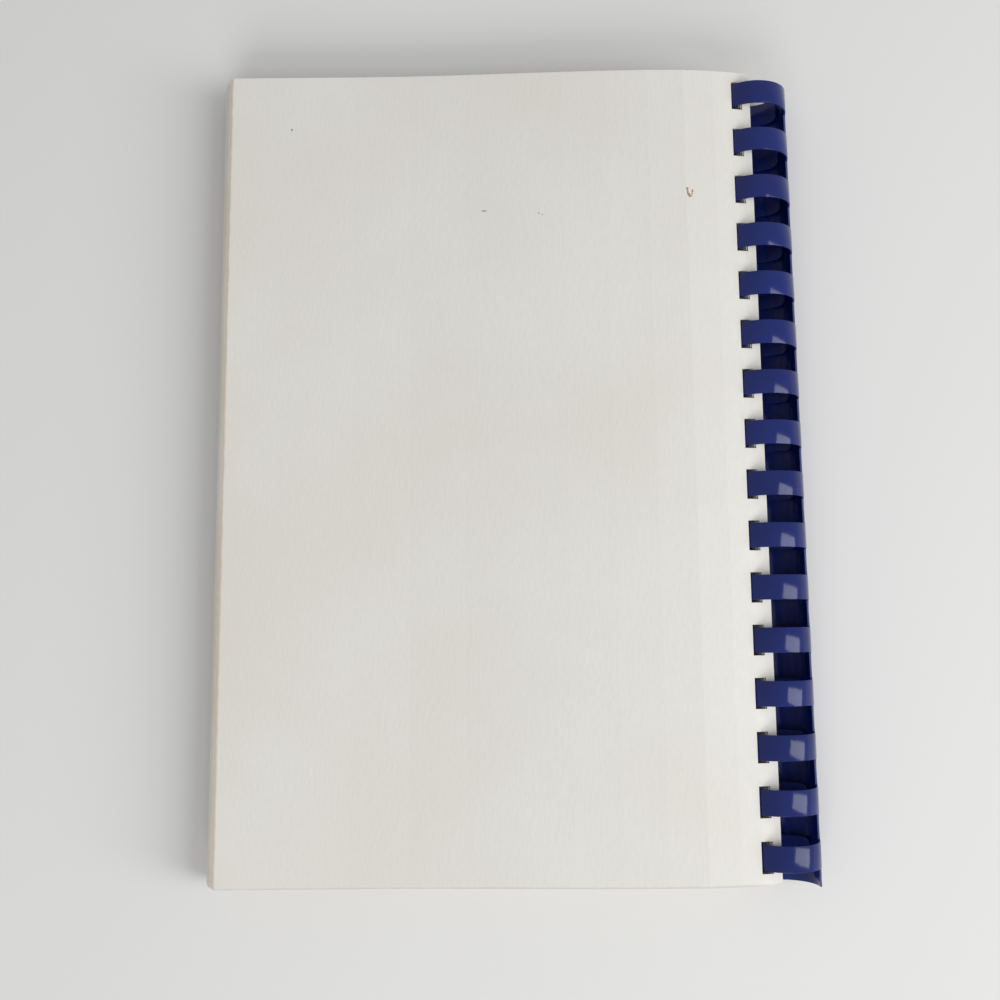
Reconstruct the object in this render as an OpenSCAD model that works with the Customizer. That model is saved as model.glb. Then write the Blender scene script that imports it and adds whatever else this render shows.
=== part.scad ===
// A plastic-comb bound booklet that lies on its front cover.
// X runs across the pages towards the comb, Y runs along the comb and Z points up.
// The origin is under the middle of the booklet, on the plane that it lies on.

/* [Pages] */
// Width of a leaf, from its bound edge to its fore-edge
leaf_w = 152.4; // [100:0.1:220]
// Length of a leaf along the comb
leaf_h = 228.6; // [220:0.1:300]
// Number of leaf sections between the covers
sections = 24; // [8:1:32]
// Thickness of one section of leaves
section_t = 0.46; // [0.3:0.01:0.46]
// Air between two sections, or a section and a cover
section_air = 0.04; // [0.03:0.01:0.08]
// Thickness of a card cover
cover_t = 0.35; // [0.25:0.01:0.5]
// Radius of the corners of the covers and leaves
corner_r = 1.2; // [0.5:0.1:4]

/* [Comb] */
// Outside diameter of the comb
comb_d = 19.5; // [17:0.5:22]
// Thickness of the comb's plastic
comb_t = 0.55; // [0.4:0.05:0.7]
// Distance between the middles of two tines
tine_pitch = 14.2875; // [14:0.0125:14.5]
// Number of tines
tines = 16; // [8:1:16]
// Width of a tine along the comb
tine_w = 6.8; // [5:0.1:7.2]
// Angle of the spine's upper edge above the comb's middle
spine_top = 4; // [0:1:8]
// Angle that the spine covers, down from its upper edge
spine_arc = 96; // [85:1:97]
// Angle, round the comb from the right, at which a tine ends inside the spine
tine_end = 344; // [310:1:346]
// Clearance between the spine's inner face and the tines that lie in it
tuck_gap = 0.12; // [0.08:0.02:0.3]
// Length cut off each corner of a tine's tip
tip_cut = 1.8; // [1:0.1:2.2]
// Length of spine past the tine at the head of the pages
head_end = 0; // [0:0.1:4]
// Length of spine past the tine at the foot of the pages
foot_end = 5.4; // [0:0.1:6]

/* [Holes] */
// Width of a punched hole, across the page
hole_w = 3.2; // [3:0.1:3.4]
// Room between a tine's edge and the end of its hole
hole_side = 0.75; // [0.4:0.05:0.9]
// Paper left between the holes and the bound edge
hole_margin = 2.6; // [2:0.05:3]
// Room between a tine's outer face and the hole's edge that hangs on it
hole_gap = 0.1; // [0.05:0.05:0.2]

/* [Lie of the pages] */
// Height to which the holes of the front cover rise on the comb
low_rise = 2.4; // [2:0.1:2.5]
// Distance over which the front cover rises
low_run = 60; // [40:1:90]
// Height by which the loose leaves lift the back cover at the fore-edge, above the pressed stack
slack = 2.6; // [0:0.1:3.5]
// Height of the crest of the swell in the back cover above the pressed stack
swell = 6; // [4:0.1:6.2]
// Height of the back cover's bound edge above the pressed stack
swell_edge = 2.5; // [2.5:0.1:3.5]
// Distance of the swell's crest from the bound edge
swell_at = 26; // [20:1:34]
// Distance from the crest to where the back cover lies level
swell_run = 90; // [60:1:95]
// Turn of the lower leaves on the comb, towards the fore-edge at the foot
skew_low = 0.2; // [0:0.01:0.22]
// Turn of the back cover on the comb, towards the fore-edge at the head
skew_back = -0.06; // [-0.15:0.01:0]

/* [Hidden] */
comb_r = comb_d / 2;
spine_foot = spine_top - spine_arc;
// The lower half of a tine curls in on a smaller circle, to pass inside the spine's lower edge
tuck = (comb_t + tuck_gap) / (1 - cos(180 + spine_foot));
curl_r = comb_r - tuck;
// Numbers of flats that the curled plastic is drawn with: in the spine, over the top and underneath
spine_steps = 16;
over_steps = 30;
under_steps = 24;
tine_span = (tines - 1) * tine_pitch;
// The punch holes are centred on the tines, so the comb's tines are centred on the pages
hole_l = tine_w + 2 * hole_side;
hole_far = hole_margin + hole_w;
stack_h = 2 * cover_t + sections * section_t + (sections + 1) * section_air;
// Middle of the comb, so that the whole booklet is centred on the origin
comb_x = (leaf_w - hole_far + hole_gap + (tine_span + leaf_h) / 2 * sin(skew_low)) / 2;
// Half the length by which the spine runs on past the pages at the foot, which centres the booklet on the origin
mid_y = max(0, foot_end + (tine_span + tine_w - leaf_h) / 2) / 2;
bite = 1;

leaf_names = [for (i = [1 : sections]) str("leaves_", i < 10 ? "0" : "", i)];

// Height of a sheet's underside at a distance from its bound edge, for the lowest and the topmost sheet
function low_z(d) = d > low_run ? 0 : low_rise * (1 + cos(180 * d / low_run)) / 2;
function swell_z(d) = d < swell_at
    ? swell - (swell - swell_edge) * pow(1 - d / swell_at, 2)
    : slack + (swell - slack) * (1 + cos(180 * min(1, (d - swell_at) / swell_run))) / 2;
function top_z(d) = stack_h - cover_t + swell_z(d);

// Share of the way up the stack, from the front cover to the back cover, of a sheet's underside
function share(rest) = rest / (stack_h - cover_t);
function sheet_z(u, d) = (1 - u) * low_z(d) + u * top_z(d);

// Distances from the bound edge at which a sheet bends: closer together where it curves more
stations = concat(
    [0, hole_margin, hole_far],
    [for (i = [1 : 9]) hole_far + (swell_at + swell_run - hole_far) * pow(i / 9, 1.35)],
    [leaf_w]
);
hole_station = 2;

// Length along X that a sheet takes up between two stations, less than its own length where it slopes
function step_x(u, i) = sqrt(pow(stations[i + 1] - stations[i], 2)
    - pow(sheet_z(u, stations[i + 1]) - sheet_z(u, stations[i]), 2));
function reach_x(u, i, k) = i >= k ? 0 : step_x(u, i) + reach_x(u, i + 1, k);

// A tine's outer face, measured left from the comb's middle, at a height
function tine_x(z) = z > comb_r
    ? sqrt(pow(comb_r, 2) - pow(z - comb_r, 2))
    : tuck + sqrt(pow(curl_r, 2) - pow(z - comb_r, 2));

// Turn of a sheet on the comb, seen from above
function skew(u) = u < 0.5 ? skew_low : skew_back * pow(2 * u - 1, 0.5);
// The hole's edge clears its tine through the sheet's thickness, and at both ends of a sheet that lies askew
function hole_x(u, t) = -max(tine_x(sheet_z(u, hole_far)), tine_x(sheet_z(u, hole_far) + t))
    - hole_gap - tine_span / 2 * abs(sin(skew(u)));

// One sheet or section: a bent strip, drawn in the XZ plane from the comb's middle
module sheet_outline(u, t) {
    left = hole_x(u, t);
    bound = left + reach_x(u, 0, hole_station);
    line = [for (i = [0 : len(stations) - 1]) [bound - reach_x(u, 0, i), sheet_z(u, stations[i])]];
    back = [for (i = [len(line) - 1 : -1 : 0]) line[i] + [0, t]];
    polygon(concat(line, back));
}

// A cutter that rounds one corner of a sheet, with its corner at the origin and the sheet towards +X and +Y
module corner_cutter(height) {
    difference() {
        translate([-bite, -bite, 0])
            cube([corner_r + bite, corner_r + bite, height]);
        translate([corner_r, corner_r, -bite])
            cylinder(r = corner_r, h = height + 2 * bite, $fn = 32);
    }
}

module sheet(u, t) {
    tall = 2 * comb_r + swell;
    left = hole_x(u, t);
    bound = left + reach_x(u, 0, hole_station);
    fore = bound - reach_x(u, 0, len(stations) - 1);
    translate([comb_x, mid_y, 0])
        translate([left, 0, 0]) rotate([0, 0, skew(u)]) translate([-left, 0, 0])
            difference() {
                translate([0, leaf_h / 2, 0])
                    rotate([90, 0, 0])
                        linear_extrude(leaf_h)
                            sheet_outline(u, t);
                for (i = [0 : tines - 1])
                    translate([left, i * tine_pitch - (tine_span + hole_l) / 2, -bite])
                        cube([hole_w, hole_l, tall]);
                for (side = [0, 1])
                    mirror([0, side, 0]) {
                        translate([fore, -leaf_h / 2, -bite])
                            corner_cutter(tall);
                        translate([bound, -leaf_h / 2, -bite])
                            mirror([1, 0, 0])
                                corner_cutter(tall);
                    }
            }
}

// Points on the comb's plastic at an angle, on the full circle and then on the smaller one that it curls in to
function on_ring(r, angle) = angle <= 180
    ? r * [cos(angle), sin(angle)]
    : [-tuck, 0] + (r - tuck) * [cos(angle), sin(angle)];

// Flat wedge between two angles that are less than a turn and more than half a turn apart
module wide_wedge(from, to) {
    far = 3 * comb_r;
    polygon([[0, 0], far * [cos(from), sin(from)], far * [cos(from + 80), sin(from + 80)],
        far * [cos((from + to) / 2), sin((from + to) / 2)],
        far * [cos(to - 80), sin(to - 80)], far * [cos(to), sin(to)]]);
}

// A cutter that takes one corner off a tine's tip, along the tine's own radius
module tip_cutter() {
    translate([comb_r - tuck - 3 * comb_t, 0, 0])
        rotate([0, 90, 0])
            linear_extrude(4 * comb_t)
                polygon([[-bite, -tip_cut - bite], [tip_cut + bite, bite], [-bite, bite]]);
}

// Outline of the whole comb: the spine, the tines' curl over the top, and their smaller curl underneath
module comb_outline() {
    turns = concat(
        [for (i = [0 : spine_steps]) spine_foot + i * spine_arc / spine_steps],
        [for (i = [1 : over_steps]) spine_top + i * (180 - spine_top) / over_steps],
        [for (i = [1 : under_steps]) 180 + i * (tine_end - 180) / under_steps]
    );
    outside = [for (turn = turns) on_ring(comb_r, turn)];
    inside = [for (i = [len(turns) - 1 : -1 : 0]) on_ring(comb_r - comb_t, turns[i])];
    polygon(concat(outside, inside));
}

// Outline of the gap between two tines: all round the spine's outside, and inside it as far as the tuck gap
module gap_outline() {
    circle(r = comb_r - comb_t - tuck_gap / 2, $fn = 180);
    wide_wedge(spine_top, 359 + spine_foot);
}

// A cutter that clears the comb's outline between two places along it
module comb_gap(from, to) {
    translate([0, 0, from])
        linear_extrude(to - from)
            gap_outline();
}

// The comb is one piece of curled plastic: a spine with a row of tines
module comb() {
    head = -(tine_span + tine_w) / 2;
    foot = -head;
    color([0.08, 0.12, 0.32])
        translate([comb_x, mid_y, comb_r])
            rotate([90, 0, 0])
                difference() {
                    translate([0, 0, head - head_end])
                        linear_extrude(foot - head + head_end + foot_end)
                            comb_outline();
                    for (i = [1 : tines - 1])
                        comb_gap(head + (i - 1) * tine_pitch + tine_w, head + i * tine_pitch);
                    comb_gap(foot, foot + foot_end + bite);
                    if (head_end > 0)
                        comb_gap(head - head_end - bite, head);
                    translate([-tuck, 0, 0])
                        rotate(tine_end)
                            for (i = [0 : tines - 1])
                                translate([0, 0, head + tine_w / 2 + i * tine_pitch])
                                    for (side = [0, 1])
                                        mirror([0, 0, side])
                                            translate([0, 0, tine_w / 2])
                                                tip_cutter();
                }
}

module front_cover() {
    color([0.89, 0.88, 0.85])
        sheet(0, cover_t);
}

// One section of leaves, counted up from the front cover
module leaf_section(i) {
    rest = cover_t + section_air + (i - 1) * (section_t + section_air);
    color([0.93, 0.91, 0.86])
        sheet(share(rest), section_t);
}

module back_cover() {
    color([0.89, 0.88, 0.85])
        sheet(1, cover_t);
}

comb();
front_cover();
for (i = [1 : sections]) {
    leaf_section(i);
}
back_cover();
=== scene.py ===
import math

import bpy
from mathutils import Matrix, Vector


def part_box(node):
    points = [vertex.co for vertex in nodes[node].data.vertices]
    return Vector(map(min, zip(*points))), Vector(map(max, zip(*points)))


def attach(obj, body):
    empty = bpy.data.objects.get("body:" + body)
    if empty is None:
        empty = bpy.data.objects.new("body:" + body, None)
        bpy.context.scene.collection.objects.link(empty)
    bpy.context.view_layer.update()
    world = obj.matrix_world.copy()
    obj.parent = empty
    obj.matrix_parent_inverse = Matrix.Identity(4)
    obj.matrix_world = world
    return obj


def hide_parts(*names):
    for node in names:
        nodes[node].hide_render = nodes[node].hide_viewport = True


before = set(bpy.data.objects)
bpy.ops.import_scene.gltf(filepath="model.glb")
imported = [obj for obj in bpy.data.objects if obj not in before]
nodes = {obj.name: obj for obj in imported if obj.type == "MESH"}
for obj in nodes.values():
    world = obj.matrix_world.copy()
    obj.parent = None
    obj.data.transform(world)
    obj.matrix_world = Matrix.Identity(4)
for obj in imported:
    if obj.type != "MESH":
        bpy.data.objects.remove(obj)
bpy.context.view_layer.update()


# ---- Front cover -----------------------------------------------------------------------------
# The sheet of uncoated white card that the booklet lies on. It is punched along one side
# and hangs on the comb's tines by its row of slots.


class Wire:
    """One value or colour in a finish. Sums, differences, products and the like of values add their nodes."""

    def __init__(self, finish, socket):
        self.finish = finish
        self.socket = socket

    def sum(self, operation, *others):
        return self.finish.node("ShaderNodeMath", {"operation": operation}, dict(enumerate(others)))

    def __add__(self, other):
        return self.sum("ADD", self, other)

    def __radd__(self, other):
        return self.sum("ADD", other, self)

    def __sub__(self, other):
        return self.sum("SUBTRACT", self, other)

    def __rsub__(self, other):
        return self.sum("SUBTRACT", other, self)

    def __mul__(self, other):
        return self.sum("MULTIPLY", self, other)

    def __rmul__(self, other):
        return self.sum("MULTIPLY", other, self)

    def __truediv__(self, other):
        return self.sum("DIVIDE", self, other)

    def __rtruediv__(self, other):
        return self.sum("DIVIDE", other, self)

    def __pow__(self, other):
        return self.sum("POWER", self, other)

    def __abs__(self):
        return self.sum("ABSOLUTE", self)

    def rise(self, start, end):
        """0 before start and 1 after end, with a smooth rise between them."""
        if start > end:
            return 1 - self.rise(end, start)
        settings = {"interpolation_type": "SMOOTHSTEP"}
        return self.finish.node("ShaderNodeMapRange", settings, {"Value": self, "From Min": start, "From Max": end})


class Finish:
    """A material that is built round one Principled shader."""

    def __init__(self, name):
        self.material = bpy.data.materials.new(name)
        self.material.use_nodes = True
        self.tree = self.material.node_tree
        self.tree.nodes.clear()
        self.shader = self.tree.nodes.new("ShaderNodeBsdfPrincipled")
        output = self.tree.nodes.new("ShaderNodeOutputMaterial")
        self.tree.links.new(self.shader.outputs["BSDF"], output.inputs["Surface"])

    def feed(self, node, sockets):
        for key, value in sockets.items():
            if isinstance(value, Wire):
                self.tree.links.new(value.socket, node.inputs[key])
            else:
                node.inputs[key].default_value = value

    def node(self, kind, settings, sockets, out=0):
        made = self.tree.nodes.new(kind)
        for key, value in settings.items():
            setattr(made, key, value)
        self.feed(made, sockets)
        return Wire(self, made.outputs[out])

    def blend(self, share, first, second):
        """A colour that goes from the first to the second as share goes from 0 to 1."""
        return self.node("ShaderNodeMix", {"data_type": "RGBA"}, {0: share, 6: first, 7: second}, 2)

    def grain(self, where, size, detail=3.0, stretch=(1.0, 1.0, 1.0)):
        """Soft random blotches of that size in metres, from 0 to 1, at where on the piece."""
        spread = self.node("ShaderNodeMapping", {}, {"Vector": where, "Scale": stretch})
        return self.node("ShaderNodeTexNoise", {}, {"Vector": spread, "Scale": 1 / size, "Detail": detail})

    def bump(self, height, depth, strength=1.0):
        made = self.node("ShaderNodeBump", {}, {"Height": height, "Distance": depth, "Strength": strength})
        self.feed(self.shader, {"Normal": made})


def paint(red, green, blue):
    """A colour given as it looks, from 0 to 255, for a shader's socket."""
    return tuple(
        (c / 12.92 if c <= 0.04045 else ((c + 0.055) / 1.055) ** 2.4) for c in (red / 255, green / 255, blue / 255)
    ) + (1.0,)


def card_finish(name, node, marks=()):
    """Uncoated white card: a faint fibre, cloudy hand wear, browned cut edges that also carry a painted edge shadow,
    and a few specks.
    """
    low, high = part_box(node)
    card = Finish(name)
    where = card.node("ShaderNodeTexCoord", {}, {}, "Object")
    x, y, z = (card.node("ShaderNodeSeparateXYZ", {}, {"Vector": where}, i) for i in range(3))
    fibre = card.grain(where, 0.0009, 4.0, (1.0, 0.35, 1.0))
    cloud = card.grain(where, 0.055, 3.0)
    smear = card.grain(where, 0.016, 4.0, (0.5, 1.0, 1.0))
    body = card.blend(cloud.rise(0.3, 0.72), paint(221, 218, 211), paint(226, 224, 219))
    body = card.blend(smear.rise(0.55, 0.85) * 0.2, body, paint(219, 215, 208))
    body = card.blend(fibre.rise(0.3, 0.8) * 0.18, body, paint(213, 210, 204))

    # the browned rim, widest where fingers lift the fore-edge and at the head: its brown is partly wear and partly a
    # painted shadow along the cover's edge
    fore = x - low.x
    ends = (high.y - low.y) / 2 - abs(y - (high.y + low.y) / 2)
    ragged = card.grain(where, 0.0035, 4.0)
    fore_browning_and_shadow = (fore + ragged * 0.0006).rise(0.0014, 0.0006)
    end_browning_and_shadow = (ends + ragged * 0.0006).rise(0.0011, 0.0004) * y.rise(0.05, -0.05) * 0.6
    # the brown band: wear browning together with a painted shadow of the cover's edge
    body = card.blend((fore_browning_and_shadow + end_browning_and_shadow).rise(0.0, 1.3) * 0.75, body, paint(176, 152, 124))
    handled = (fore + cloud * 0.02).rise(0.024, 0.002) * 0.2
    body = card.blend(handled, body, paint(218, 211, 197))

    # pale creases where the card bends along the slots
    crease = (high.x - x).rise(0.011, 0.004) * card.grain(where, 0.006, 3.0).rise(0.45, 0.7) * 0.3
    body = card.blend(crease, body, paint(242, 240, 235))

    # specks left by handling
    cells = card.node("ShaderNodeMapping", {}, {"Vector": where, "Scale": (1.0, 1.0, 0.02)})
    near = card.node("ShaderNodeTexVoronoi", {}, {"Vector": cells, "Scale": 42.0, "Randomness": 1.0}, "Distance")
    chance = card.grain(where, 0.03, 2.0).rise(0.56, 0.6)
    specks = near.rise(0.016, 0.009) * chance
    body = card.blend(specks * 0.8, body, paint(128, 122, 104))
    for spot_x, spot_y, wide, tall, colour in marks:
        off = (((x - spot_x) / wide) ** 2.0 + ((y - spot_y) / tall) ** 2.0) ** 0.5
        wobble = card.grain(where, 0.0009, 2.0) * 0.9
        body = card.blend((off + wobble).rise(1.6, 1.1) * 0.85, body, paint(*colour))

    card.feed(card.shader, {"Base Color": body, "Roughness": 0.56 + fibre * 0.16, "IOR": 1.45})
    card.feed(card.shader, {"Specular IOR Level": 0.35})
    card.bump(fibre + smear * 0.5, 0.00006)
    return card, (x, y, where)


front = nodes["front_cover"]
front_card, _ = card_finish("white_card_front", "front_cover")
front.data.materials.clear()
front.data.materials.append(front_card.material)


# ---- Leaves ----------------------------------------------------------------------------------
# The text block: sections of thin white bond paper, punched with the covers and threaded on
# the same tines. Their cut edges show as fine lines, and the outer ones have yellowed.

mm = 0.001
leaf_lines = 4
low_rise, low_run = 2.4, 60.0
swell, swell_edge, swell_at, swell_run, slack = 6.0, 2.5, 26.0, 90.0, 2.6
pressed = 12.39


def leaf_finish(section, total):
    """Bond paper, with the fine lines of separate leaves along its cut edges."""
    paper = Finish(f"bond_paper_{section:02d}")
    where = paper.node("ShaderNodeTexCoord", {}, {}, "Object")
    x, y, z = (paper.node("ShaderNodeSeparateXYZ", {}, {"Vector": where}, i) for i in range(3))
    up = paper.node("ShaderNodeNewGeometry", {}, {}, "True Normal")
    flat = abs(paper.node("ShaderNodeSeparateXYZ", {}, {"Vector": up}, 2))
    edge = flat.rise(0.9, 0.6)

    # how far up the block a point is, following the sheets' bend
    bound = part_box(f"leaves_{section:02d}")[1].x / mm
    away = bound - x / mm
    turn = (away / low_run * math.pi).sum("MINIMUM", away / low_run * math.pi, math.pi)
    bottom = (turn.sum("COSINE", turn) + 1) * (low_rise / 2)
    near = swell - (swell - swell_edge) * ((1 - away / swell_at).sum("MAXIMUM", 1 - away / swell_at, 0.0) ** 2.0)
    past = ((away - swell_at) / swell_run).sum("MAXIMUM", (away - swell_at) / swell_run, 0.0)
    past = past.sum("MINIMUM", past, 1.0) * math.pi
    top = near + (past.sum("COSINE", past) - 1) * ((swell - slack) / 2) + pressed
    level = (z / mm - bottom) / (top - bottom)
    wave = (level * (total * leaf_lines * 2 * math.pi)).sum("SINE", level * (total * leaf_lines * 2 * math.pi))
    wander = paper.grain(where, 0.02, 4.0, (1.0, 1.0, 26.0))
    lines = (wave * 0.5 + 0.5) * edge

    age = 0.25 + 0.75 * abs(2 * section / total - 1) ** 2
    tone = paint(234 - 4 * age, 231 - 6 * age, 223 - 11 * age)
    body = paper.blend(paper.grain(where, 0.03, 3.0).rise(0.35, 0.7), tone, paint(236, 233, 226))
    body = paper.blend(edge * 0.8, body, paint(224 - 10 * age, 215 - 12 * age, 196 - 16 * age))
    body = paper.blend(edge * wander.rise(0.44, 0.62) * 0.85, body, paint(160, 150, 134))
    body = paper.blend(lines * 0.35, body, paint(120, 110, 98))
    fibre = paper.grain(where, 0.0008, 3.0)
    body = paper.blend(fibre.rise(0.4, 0.8) * 0.15, body, paint(212, 207, 197))
    paper.feed(paper.shader, {"Base Color": body, "Roughness": 0.62 + fibre * 0.14, "IOR": 1.45})
    paper.feed(paper.shader, {"Specular IOR Level": 0.3})
    paper.bump(lines * -1.0 + fibre * 0.3, 0.00005)
    return paper


sections = sorted(name for name in nodes if name.startswith("leaves_"))
for count, name in enumerate(sections, 1):
    leaf = nodes[name]
    leaf.data.materials.clear()
    leaf.data.materials.append(leaf_finish(count, len(sections)).material)


# ---- Back cover ------------------------------------------------------------------------------
# The same white card as the front cover, uppermost here. It swells a little over the loose
# leaves near the comb, and carries a small brown scuff and a few specks from handling.

back = nodes["back_cover"]
green_grey, brown = (150, 152, 122), (158, 116, 78)
scuffs = [(-0.0621, 0.0992, 0.0004, 0.0004, green_grey), (-0.0062, 0.0735, 0.0008, 0.0003, (158, 156, 150))]
scuffs += [(0.0096, 0.0724, 0.0003, 0.0003, (158, 160, 140)), (0.0106, 0.0720, 0.0003, 0.0002, green_grey)]
scuffs += [(0.05225, 0.0790, 0.0004, 0.0004, brown), (0.05235, 0.0780, 0.0003, 0.0009, brown)]
scuffs += [(0.05270, 0.0773, 0.0004, 0.0004, brown), (0.05300, 0.0768, 0.0006, 0.0004, brown)]
scuffs += [(0.05375, 0.0782, 0.0003, 0.0006, brown), (0.05365, 0.0774, 0.0003, 0.0004, (186, 152, 116))]
back_card, (back_x, back_y, _) = card_finish("white_card_back", "back_cover", scuffs)
back.data.materials.clear()
back.data.materials.append(back_card.material)


# ---- Comb ------------------------------------------------------------------------------------
# One strip of navy blue PVC: a spine with sixteen tines, die-cut flat and then curled by heat,
# so that each tine goes over the top, down through the slots and in behind the spine.

tines, pitch, tine_w = 16, 14.2875 * mm, 6.8 * mm
comb_r, comb_t, tuck = 9.75 * mm, 0.55 * mm, 0.694 * mm
spine_foot, spine_top, tine_end = -92, 4, 344
foot_end, root_r, tip_r = 5.4 * mm, 0.7 * mm, 2.2 * mm

comb_low, comb_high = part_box("comb")
comb_x = comb_high.x - comb_r
ring_z = comb_low.z + comb_r
comb_y = comb_high.y - ((tines - 1) * pitch + tine_w) / 2


def nothing_chosen():
    """Puts the program in object mode with nothing selected."""
    if bpy.context.object and bpy.context.object.mode != "OBJECT":
        bpy.ops.object.mode_set(mode="OBJECT")
    bpy.ops.object.select_all(action="DESELECT")


def choose_edges(piece, wanted):
    """Selects the edges whose middles pass the test, and nothing else, in edit mode."""
    bpy.ops.mesh.select_mode(type="EDGE")
    bpy.ops.mesh.select_all(action="DESELECT")
    bpy.ops.object.mode_set(mode="OBJECT")
    mesh = piece.data
    for edge in mesh.edges:
        ends = [mesh.vertices[v].co for v in edge.vertices]
        edge.select = all(wanted(end) for end in ends)
    bpy.ops.object.mode_set(mode="EDIT")


# the flat blank lies in X (along the curl) and Z (along the comb), one pitch long to begin with
middle_r = comb_r - comb_t / 2
curl_mid = comb_r - tuck - comb_t / 2
spine_s = math.radians(spine_top - spine_foot) * middle_r
over_s = math.radians(180 - spine_top) * middle_r
blank_s = spine_s + over_s + math.radians(tine_end - 180) * curl_mid

nothing_chosen()
bpy.ops.mesh.primitive_plane_add(size=1, location=(spine_s / 2, 0, 0), rotation=(math.pi / 2, 0, 0))
comb = bpy.context.object
comb.name = "comb_curled"
comb.scale = (spine_s, pitch, 1)
bpy.ops.object.transform_apply(location=True, rotation=True, scale=True)
bpy.ops.object.mode_set(mode="EDIT")
for side in (-1, 1):
    bpy.ops.mesh.select_all(action="SELECT")
    bpy.ops.mesh.bisect(plane_co=(0, 0, side * (tine_w / 2 + root_r)), plane_no=(0, 0, 1))

# the tine grows out of the spine's edge: a filleted root, a straight band and a rounded tip
steps = [(root_r * (1 - math.cos(a)), tine_w / 2 + root_r * (1 - math.sin(a))) for a in (0.35, 0.7, 1.1, math.pi / 2)]
steps += [(blank_s - spine_s - tip_r, tine_w / 2)]
nose = [math.radians(a) for a in (22, 45, 65, 82)]
steps += [(blank_s - spine_s - tip_r + tip_r * math.sin(a), tine_w / 2 - tip_r * (1 - math.cos(a))) for a in nose]
reach, half = 0.0, tine_w / 2 + root_r
for next_reach, next_half in steps:
    choose_edges(comb, lambda v: abs(v.x - spine_s - reach) < 1e-6 and abs(v.z) < half + 1e-6)
    bpy.ops.mesh.extrude_region_move(TRANSFORM_OT_translate={"value": (next_reach - reach, 0, 0)})
    bpy.ops.transform.resize(value=(1, 1, next_half / half), center_override=(0, 0, 0))
    reach, half = next_reach, next_half

# closely spaced lines across the blank, so that it curls smoothly
for cut_and_rim_sheen in range(1, int(blank_s / (0.55 * mm))):
    bpy.ops.mesh.select_all(action="SELECT")
    bpy.ops.mesh.bisect(plane_co=(cut_and_rim_sheen * 0.55 * mm, 0, 0), plane_no=(1, 0, 0))
bpy.ops.object.mode_set(mode="OBJECT")


def fixed(piece, kind, **settings):
    """Adds a modifier with its settings and applies it."""
    made = piece.modifiers.new(kind.lower(), kind)
    for key, value in settings.items():
        setattr(made, key, value)
    bpy.ops.object.modifier_apply(modifier=made.name)


fixed(
    comb, "ARRAY", count=tines, use_relative_offset=False, use_constant_offset=True,
    constant_offset_displace=(0, 0, pitch), use_merge_vertices=True, merge_threshold=0.00002,
)
bpy.ops.object.mode_set(mode="EDIT")
bpy.ops.mesh.select_all(action="SELECT")
bpy.ops.transform.translate(value=(0, 0, -(tines - 1) * pitch / 2))
head = (tines - 1) * pitch / 2 + tine_w / 2
bpy.ops.mesh.select_all(action="SELECT")
bpy.ops.mesh.bisect(plane_co=(0, 0, -head), plane_no=(0, 0, 1), clear_inner=True)
last = (tines * pitch) / 2
choose_edges(comb, lambda v: abs(v.z - last) < 1e-6)
bpy.ops.mesh.extrude_region_move(TRANSFORM_OT_translate={"value": (0, 0, head + foot_end - last)})
bpy.ops.object.mode_set(mode="OBJECT")
fixed(comb, "SOLIDIFY", thickness=comb_t, offset=0)
fixed(comb, "BEVEL", width=0.1 * mm, segments=2, limit_method="ANGLE", angle_limit=math.radians(50))

# the line that the plastic is curled to: the full ring, and then the smaller circle inside it
line = bpy.data.curves.new("curl", "CURVE")
line.dimensions = "2D"
points = [(middle_r * math.cos(math.radians(a)), middle_r * math.sin(math.radians(a))) for a in range(spine_foot, 181)]
for turn in range(181, tine_end + 1):
    points.append((-tuck + curl_mid * math.cos(math.radians(turn)), curl_mid * math.sin(math.radians(turn))))
path = line.splines.new("POLY")
path.points.add(len(points) - 1)
for point, (px, py) in zip(path.points, points):
    point.co = (px, py, 0, 1)
curl = bpy.data.objects.new("curl", line)
bpy.context.scene.collection.objects.link(curl)
fixed(comb, "CURVE", object=curl, deform_axis="POS_X")
bpy.data.objects.remove(curl)

comb.rotation_euler = (math.pi / 2, 0, 0)
comb.location = (comb_x, comb_y, ring_z)
bpy.ops.object.transform_apply(location=True, rotation=True, scale=True)
bpy.ops.object.mode_set(mode="EDIT")
bpy.ops.mesh.select_all(action="SELECT")
bpy.ops.mesh.remove_doubles(threshold=0.000005)
bpy.ops.mesh.normals_make_consistent(inside=False)
bpy.ops.object.mode_set(mode="OBJECT")
bpy.ops.object.shade_smooth_by_angle(angle=math.radians(35))

pvc = Finish("navy_pvc")
where = pvc.node("ShaderNodeTexCoord", {}, {}, "Object")
cloud = pvc.grain(where, 0.02, 3.0)
orange_peel = pvc.grain(where, 0.0012, 2.0)
haze = pvc.grain(where, 0.004, 4.0, (1.0, 0.3, 1.0))
rubbed = pvc.grain(where, 0.0007, 5.0, (1.0, 6.0, 1.0)).rise(0.66, 0.78)
blue = pvc.blend(cloud.rise(0.3, 0.7), paint(12, 28, 92), paint(17, 34, 104))
blue = pvc.blend(rubbed * 0.25, blue, paint(58, 74, 134))
up = pvc.node("ShaderNodeSeparateXYZ", {}, {"Vector": where}, 2)
across = pvc.node("ShaderNodeSeparateXYZ", {}, {"Vector": where}, 0)
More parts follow.
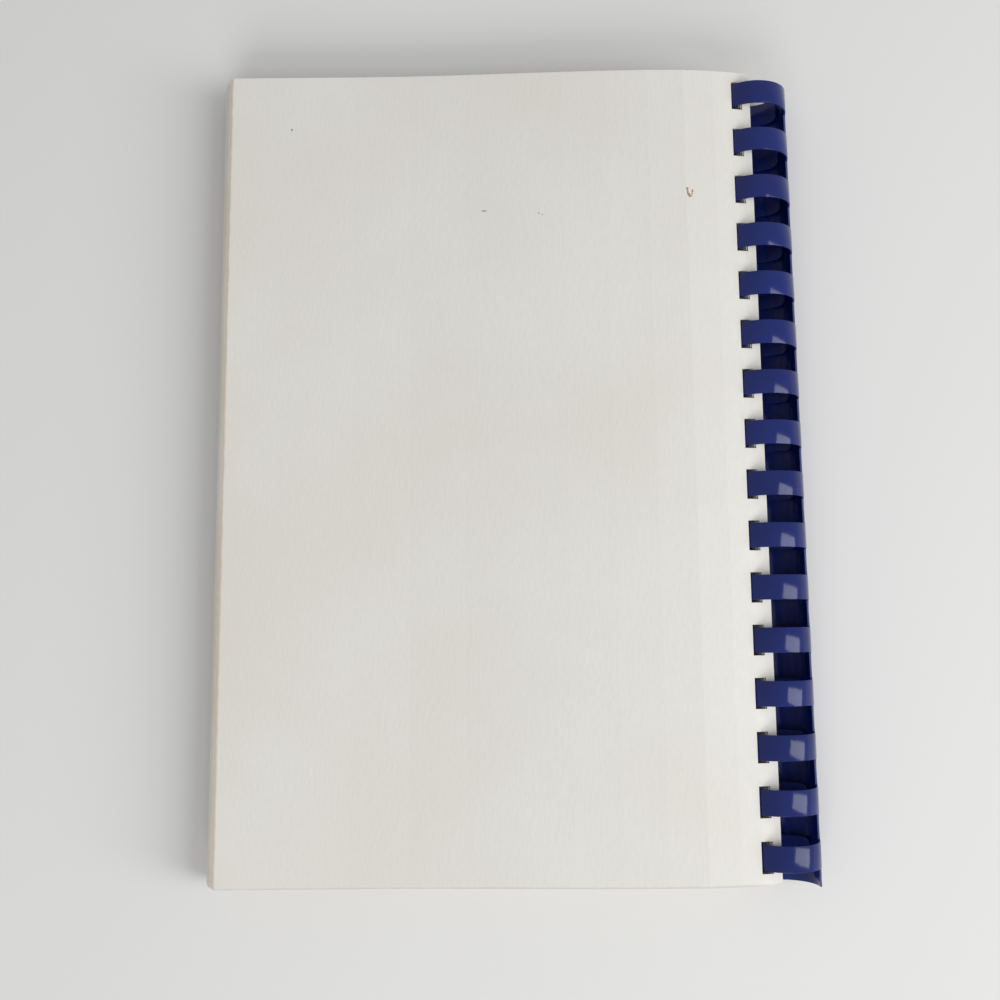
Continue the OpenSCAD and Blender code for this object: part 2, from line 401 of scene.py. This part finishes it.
# painted reflection: a thin lighter band on the ring's outer side, at the height of the spine's cut top edge. In the
# gaps it lies on that cut edge, and across the tine roots it is only a painted rim sheen.
rim_sheen_z = ring_z + comb_r * math.sin(math.radians(spine_top))
cut_and_rim_sheen = (abs(up - rim_sheen_z)).rise(0.00016, 0.00006) * (across - comb_x).rise(0.0, 0.004)
blue = pvc.blend(cut_and_rim_sheen * 0.7, blue, paint(92, 106, 150))
pvc.feed(pvc.shader, {"Base Color": blue, "Roughness": 0.09 + haze * 0.08 + rubbed * 0.15, "IOR": 1.5})
pvc.feed(pvc.shader, {"Specular IOR Level": 0.3})
pvc.bump(orange_peel + rubbed * 0.4, 0.000012)
comb.data.materials.clear()
comb.data.materials.append(pvc.material)
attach(comb, "comb")
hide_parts("comb")


# ---- Table, light and camera -------------------------------------------------------------------
# The booklet lies on a plain pale table under a broad soft lamp, with a smaller one towards
# the comb, and is looked at from nearly straight above.

nothing_chosen()
bpy.ops.mesh.primitive_plane_add(size=30, location=(0, 0, -0.0002))
table = bpy.context.object
table.name = "table"
top = Finish("pale_table")
top.feed(top.shader, {"Base Color": paint(224, 224, 223), "Roughness": 0.8, "Specular IOR Level": 0.2})
table.data.materials.append(top.material)


def lamp(name, place, aim, width, length, watts):
    light = bpy.data.lights.new(name, "AREA")
    light.shape = "RECTANGLE"
    light.size, light.size_y = width, length
    light.energy = watts
    made = bpy.data.objects.new(name, light)
    bpy.context.scene.collection.objects.link(made)
    made.location = place
    made.rotation_euler = (Vector(aim) - Vector(place)).to_track_quat("-Z", "Y").to_euler()


lamp("foot_lamp", (-0.10, -1.45, 1.05), (0, 0, 0), 1.1, 0.8, 12.0)
lamp("comb_lamp", (0.88, -0.24, 0.78), (0.08, -0.06, 0.01), 0.56, 1.05, 9.5)

world = bpy.data.worlds.new("room")
bpy.context.scene.world = world
world.use_nodes = True
air = world.node_tree
seen = air.nodes.new("ShaderNodeLightPath")
direct = air.nodes.new("ShaderNodeMath")
direct.operation = "MAXIMUM"
air.links.new(seen.outputs["Is Camera Ray"], direct.inputs[0])
air.links.new(seen.outputs["Is Glossy Ray"], direct.inputs[1])
shown = air.nodes.new("ShaderNodeMath")
shown.operation = "MAXIMUM"
air.links.new(direct.outputs[0], shown.inputs[0])
air.links.new(seen.outputs["Is Transmission Ray"], shown.inputs[1])
level = air.nodes.new("ShaderNodeMapRange")
level.inputs["To Min"].default_value = 0.36
level.inputs["To Max"].default_value = 0.72
air.links.new(shown.outputs[0], level.inputs["Value"])
air.nodes["Background"].inputs["Color"].default_value = (1, 1, 1, 1)
air.links.new(level.outputs[0], air.nodes["Background"].inputs["Strength"])

camera = bpy.data.objects.new("camera", bpy.data.cameras.new("camera"))
bpy.context.scene.collection.objects.link(camera)
camera.location = (-0.002944, -0.043730, 0.348457)
camera.rotation_euler = (0.15092, -0.00051, -0.01010)
camera.data.lens = 43.2
camera.data.sensor_width = 36.0
camera.data.shift_y = -0.06
bpy.context.scene.camera = camera
bpy.context.scene.view_settings.view_transform = "Standard"

nothing_chosen()
